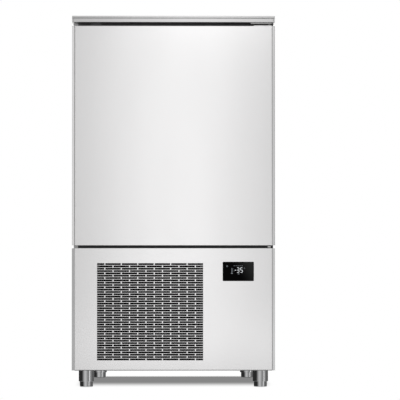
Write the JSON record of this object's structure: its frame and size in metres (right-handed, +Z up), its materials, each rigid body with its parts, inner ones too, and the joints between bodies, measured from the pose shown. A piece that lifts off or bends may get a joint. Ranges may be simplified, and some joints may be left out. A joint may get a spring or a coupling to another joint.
{
  "type": "blast chiller",
  "caption": "Upright stainless blast chiller: a full-width insulated door over a front panel with a staggered slotted grille and a black touch display, on round legs.",
  "frame": {"origin": "on the floor under the centre of the outline", "axes": "+Z up, the door and display face -Y, +X to the viewer's right"},
  "size_m": [0.79, 0.82, 1.448],
  "materials": {
    "satin_steel": "satin stainless sheet with a fine vertical grain",
    "inner_steel": "stainless sheet and rod, smoother than the outside",
    "polished_steel": "polished stainless tube",
    "display_black": "gloss black glass front",
    "dark_plastic": "dark moulded plastic",
    "seal_rubber": "matt dark rubber",
    "foam": "rigid closed-cell foam",
    "fin_aluminium": "bare fins",
    "black_enamel": "semi-gloss black enamel",
    "fan_plastic": "dark grey moulded plastic",
    "copper": "dull copper",
    "board_green": "circuit board"
  },
  "bodies": {
    "cabinet": {"top_panel": "satin_steel", "side_panel_left": "satin_steel", "side_panel_right": "satin_steel", "back_panel": "satin_steel", "base_pan": "satin_steel", "base_side_left": "satin_steel", "base_side_right": "satin_steel", "base_rear_panel": "satin_steel", "front_panel": "satin_steel", "electrical_box": "satin_steel", "condenser_shroud": "satin_steel", "hinge_bracket_top": "satin_steel", "hinge_bracket_bottom": "satin_steel", "inner_liner": "inner_steel", "fan_baffle": "inner_steel", "drip_tray": "inner_steel", "fan_guards": "inner_steel", "panel_screws": "inner_steel", "leg_front_left": "polished_steel", "leg_front_right": "polished_steel", "leg_rear_left": "polished_steel", "leg_rear_right": "polished_steel", "display_glass": "display_black", "opening_frame": "dark_plastic", "display_housing": "dark_plastic", "supply_gland": "dark_plastic", "door_sensor": "dark_plastic", "compressor_mounts": "seal_rubber", "insulation_foam": "foam", "evaporator_coil": "fin_aluminium", "condenser_coil": "black_enamel", "compressor": "black_enamel", "liquid_receiver": "black_enamel", "condenser_motor": "black_enamel", "evaporator_motors": "black_enamel", "discharge_pipe": "copper", "liquid_pipes": "copper", "suction_pipe": "copper", "filter_drier": "copper", "expansion_valve": "copper", "control_board": "board_green"},
    "door": {"door_skin": "satin_steel", "door_inner_panel": "inner_steel", "door_foam": "foam", "door_seal": "seal_rubber", "door_grip": "inner_steel", "door_edge": "inner_steel", "door_end_caps": "inner_steel", "hinge_bushes": "inner_steel"},
    "condenser_fan": {"condenser_fan": "fan_plastic"},
    "chamber_fan_upper": {"evaporator_fan_upper": "fan_plastic"},
    "chamber_fan_lower": {"evaporator_fan_lower": "fan_plastic"},
    "foot_front_left": {"foot_front_left": "polished_steel"},
    "foot_front_right": {"foot_front_right": "polished_steel"},
    "foot_rear_left": {"foot_rear_left": "polished_steel"},
    "foot_rear_right": {"foot_rear_right": "polished_steel"},
    "rack_left": {"rack_left": "inner_steel", "runners_left": "inner_steel"},
    "rack_right": {"rack_right": "inner_steel", "runners_right": "inner_steel"}
  },
  "joints": [
    {"name": "door_hinge", "type": "hinge", "parent": "cabinet", "child": "door", "pos_m": [0.372, -0.381, 0.981], "axis": [0, 0, 1], "range_deg": [0, 110]},
    {"name": "condenser_fan_spin", "type": "hinge", "parent": "cabinet", "child": "condenser_fan", "pos_m": [-0.09075, -0.28, 0.2875], "axis": [0, 1, 0], "continuous": true},
    {"name": "chamber_fan_upper_spin", "type": "hinge", "parent": "cabinet", "child": "chamber_fan_upper", "pos_m": [0, 0.16, 1.1685], "axis": [0, 1, 0], "continuous": true},
    {"name": "chamber_fan_lower_spin", "type": "hinge", "parent": "cabinet", "child": "chamber_fan_lower", "pos_m": [0, 0.16, 0.7985], "axis": [0, 1, 0], "continuous": true},
    {"name": "foot_front_left_height", "type": "slide", "parent": "cabinet", "child": "foot_front_left", "axis": [0, 0, -1], "range_m": [0, 0.015]},
    {"name": "foot_front_right_height", "type": "slide", "parent": "cabinet", "child": "foot_front_right", "axis": [0, 0, -1], "range_m": [0, 0.015]},
    {"name": "foot_rear_left_height", "type": "slide", "parent": "cabinet", "child": "foot_rear_left", "axis": [0, 0, -1], "range_m": [0, 0.015]},
    {"name": "foot_rear_right_height", "type": "slide", "parent": "cabinet", "child": "foot_rear_right", "axis": [0, 0, -1], "range_m": [0, 0.015]},
    {"name": "rack_left_lift", "type": "slide", "parent": "cabinet", "child": "rack_left", "axis": [0, 0, 1], "range_m": [0, 0.012]},
    {"name": "rack_right_lift", "type": "slide", "parent": "cabinet", "child": "rack_right", "axis": [0, 0, 1], "range_m": [0, 0.012]}
  ]
}
